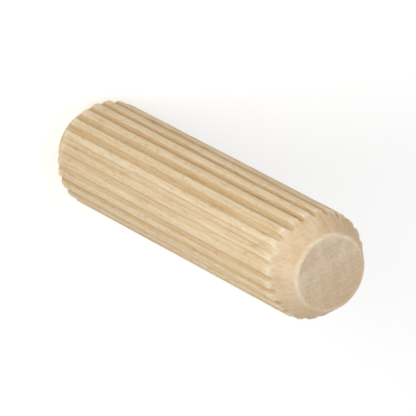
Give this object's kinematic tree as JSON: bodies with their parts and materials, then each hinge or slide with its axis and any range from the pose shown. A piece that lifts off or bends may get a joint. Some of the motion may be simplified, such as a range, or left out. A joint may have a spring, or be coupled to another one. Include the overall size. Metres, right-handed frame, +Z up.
{
  "type": "fluted wooden dowel pin",
  "caption": "Straight round wooden pin with lengthwise glue flutes and chamfered ends, for joining two boards edge to edge or corner to corner.",
  "frame": {"origin": "middle of the end face that the pin stands on", "axes": "+Z up along the pin's axis, +X out through the middle of one flute"},
  "size_m": [0.01, 0.01, 0.04],
  "materials": {
    "pin_wood": "raw unfinished pale hardwood, cut and fluted, matte"
  },
  "bodies": {
    "root": {"dowel_pin": "pin_wood"}
  },
  "joints": []
}
